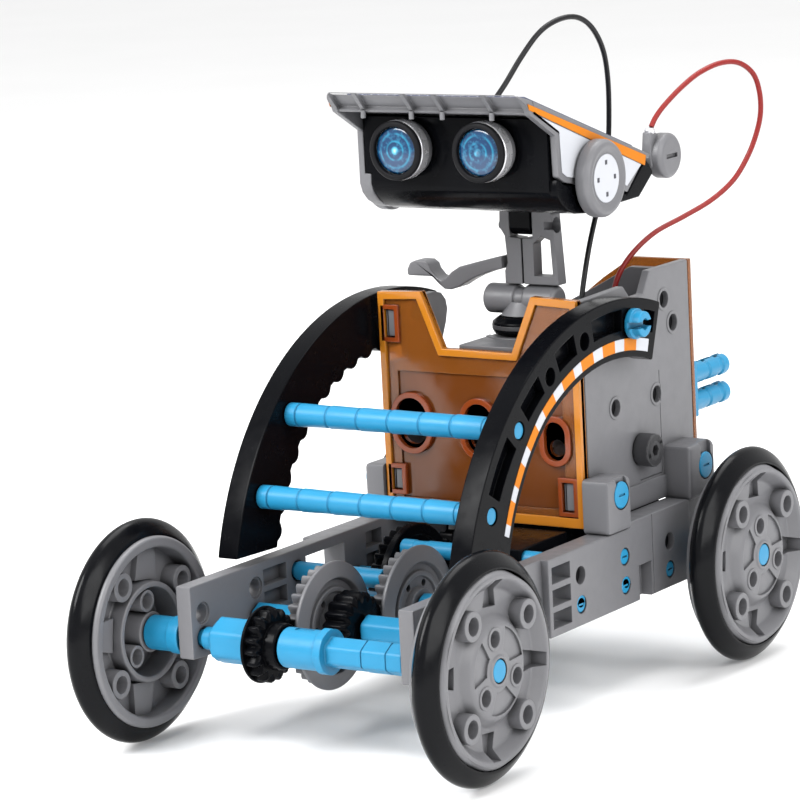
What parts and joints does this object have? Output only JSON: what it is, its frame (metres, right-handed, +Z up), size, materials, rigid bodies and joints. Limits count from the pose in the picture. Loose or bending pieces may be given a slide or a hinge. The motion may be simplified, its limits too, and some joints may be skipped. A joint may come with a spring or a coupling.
{
  "type": "four-wheel robot car",
  "caption": "Push-together four-wheel robot car with a gear train, clear orange housing, two fender arcs, and a head with ring eyes and a solar tray.",
  "frame": {"origin": "on the floor, midway between the wheels' outer sides and midway along the overall length without the wires", "axes": "+Z up, -Y towards the front (the way the eyes look), +X towards the car's left side"},
  "size_m": [0.1186, 0.2076, 0.1827],
  "materials": {
    "grey_plastic": "satin moulded",
    "tyre_rubber": "smooth semi-gloss",
    "blue_plastic": "glossy moulded",
    "black_plastic": "glossy moulded",
    "dark_grey_plastic": "satin moulded",
    "clear_orange": "translucent, polished",
    "white_plastic": "satin moulded",
    "brass": "machined",
    "motor_steel": "rolled",
    "silver_plastic": "plated",
    "blue_lens": "polished",
    "solar_cell": "coated",
    "black_wire": "insulated wire",
    "red_wire": "insulated wire"
  },
  "bodies": {
    "chassis": {"side_beam_left": "grey_plastic", "side_beam_right": "grey_plastic", "chassis_base": "grey_plastic", "gear_bracket": "black_plastic", "middle_rod": "blue_plastic", "front_peg": "blue_plastic", "side_panel_left": "grey_plastic", "side_panel_right": "grey_plastic", "front_tie_rod": "blue_plastic", "rear_tie_rod": "blue_plastic", "front_panel": "clear_orange", "rear_panel": "clear_orange", "top_deck": "grey_plastic", "rear_fork": "blue_plastic", "motor": "motor_steel", "fender_arc_left": "black_plastic", "fender_arc_right": "black_plastic", "crossbar_upper": "blue_plastic", "crossbar_lower": "blue_plastic", "arc_pin_left": "blue_plastic", "arc_pin_right": "blue_plastic", "neck_disc": "black_plastic"},
    "front_wheels": {"front_axle": "blue_plastic", "front_pinion": "black_plastic", "wheel_front_left": "grey_plastic", "wheel_front_right": "grey_plastic", "tyre_front_left": "tyre_rubber", "tyre_front_right": "tyre_rubber"},
    "rear_wheels": {"rear_axle": "blue_plastic", "wheel_rear_left": "grey_plastic", "wheel_rear_right": "grey_plastic", "tyre_rear_left": "tyre_rubber", "tyre_rear_right": "tyre_rubber"},
    "second_shaft": {"second_axle": "blue_plastic", "crown_gear_front": "grey_plastic", "second_pinion": "black_plastic"},
    "third_shaft": {"third_axle": "blue_plastic", "crown_gear_rear": "grey_plastic"},
    "fourth_shaft": {"fourth_axle": "blue_plastic"},
    "fifth_shaft": {"fifth_axle": "blue_plastic"},
    "transfer_shaft": {"transfer_gear": "white_plastic"},
    "output": {"output_shaft": "dark_grey_plastic"},
    "reduction": {"reduction_gear": "white_plastic"},
    "motor_shaft": {"motor_pinion": "brass"},
    "neck": {"neck_knuckle": "grey_plastic", "neck_half_left": "grey_plastic", "neck_half_right": "grey_plastic", "neck_lever": "grey_plastic", "black_wire": "black_wire", "red_wire": "red_wire"},
    "head": {"head_case": "black_plastic", "head_tray": "grey_plastic", "solar_panel": "solar_cell", "eye_left": "silver_plastic", "eye_right": "silver_plastic", "lens_left": "blue_lens", "lens_right": "blue_lens", "ear_left": "grey_plastic", "ear_right": "grey_plastic", "terminal_knob": "grey_plastic"}
  },
  "joints": [
    {"name": "front_wheels_spin", "type": "hinge", "parent": "chassis", "child": "front_wheels", "pos_m": [0, -0.0718, 0.03], "axis": [1, 0, 0], "continuous": true},
    {"name": "rear_wheels_spin", "type": "hinge", "parent": "chassis", "child": "rear_wheels", "pos_m": [0, 0.0662, 0.03], "axis": [1, 0, 0], "continuous": true},
    {"name": "second_shaft_spin", "type": "hinge", "parent": "chassis", "child": "second_shaft", "pos_m": [0, -0.0478, 0.03], "axis": [1, 0, 0], "continuous": true},
    {"name": "third_shaft_spin", "type": "hinge", "parent": "chassis", "child": "third_shaft", "pos_m": [0, -0.0238, 0.03], "axis": [1, 0, 0], "continuous": true},
    {"name": "fourth_shaft_spin", "type": "hinge", "parent": "chassis", "child": "fourth_shaft", "pos_m": [0, 0.0002, 0.03], "axis": [1, 0, 0], "continuous": true},
    {"name": "fifth_shaft_spin", "type": "hinge", "parent": "chassis", "child": "fifth_shaft", "pos_m": [0, 0.0242, 0.03], "axis": [1, 0, 0], "continuous": true},
    {"name": "transfer_spin", "type": "hinge", "parent": "chassis", "child": "transfer_shaft", "pos_m": [0, 0.03576, 0.04632], "axis": [1, 0, 0], "continuous": true},
    {"name": "output_spin", "type": "hinge", "parent": "chassis", "child": "output", "pos_m": [0, 0.04674, 0.06183], "axis": [1, 0, 0], "continuous": true},
    {"name": "reduction_spin", "type": "hinge", "parent": "chassis", "child": "reduction", "pos_m": [0, 0.03608, 0.07376], "axis": [1, 0, 0], "continuous": true},
    {"name": "motor_spin", "type": "hinge", "parent": "chassis", "child": "motor_shaft", "pos_m": [0, 0.034, 0.0579], "axis": [1, 0, 0], "continuous": true},
    {"name": "neck_turn", "type": "hinge", "parent": "chassis", "child": "neck", "pos_m": [0, 0.0412, 0.0992], "axis": [0, 0, 1], "range_deg": [-45, 45], "deforming": ["black_wire", "red_wire"]},
    {"name": "head_tilt", "type": "hinge", "parent": "neck", "child": "head", "pos_m": [0, 0.0412, 0.124], "axis": [1, 0, 0], "range_deg": [-20, 25], "deforming": ["black_wire", "red_wire"]}
  ],
  "couplings": [
    {"joint": "second_shaft_spin", "follows": "front_wheels_spin", "ratio": -0.6},
    {"joint": "third_shaft_spin", "follows": "front_wheels_spin", "ratio": 0.36},
    {"joint": "fourth_shaft_spin", "follows": "front_wheels_spin", "ratio": -0.6},
    {"joint": "fifth_shaft_spin", "follows": "front_wheels_spin", "ratio": 1},
    {"joint": "transfer_spin", "follows": "front_wheels_spin", "ratio": -0.81818},
    {"joint": "output_spin", "follows": "front_wheels_spin", "ratio": 1.125},
    {"joint": "reduction_spin", "follows": "front_wheels_spin", "ratio": -3.375},
    {"joint": "motor_spin", "follows": "front_wheels_spin", "ratio": 10.125}
  ]
}
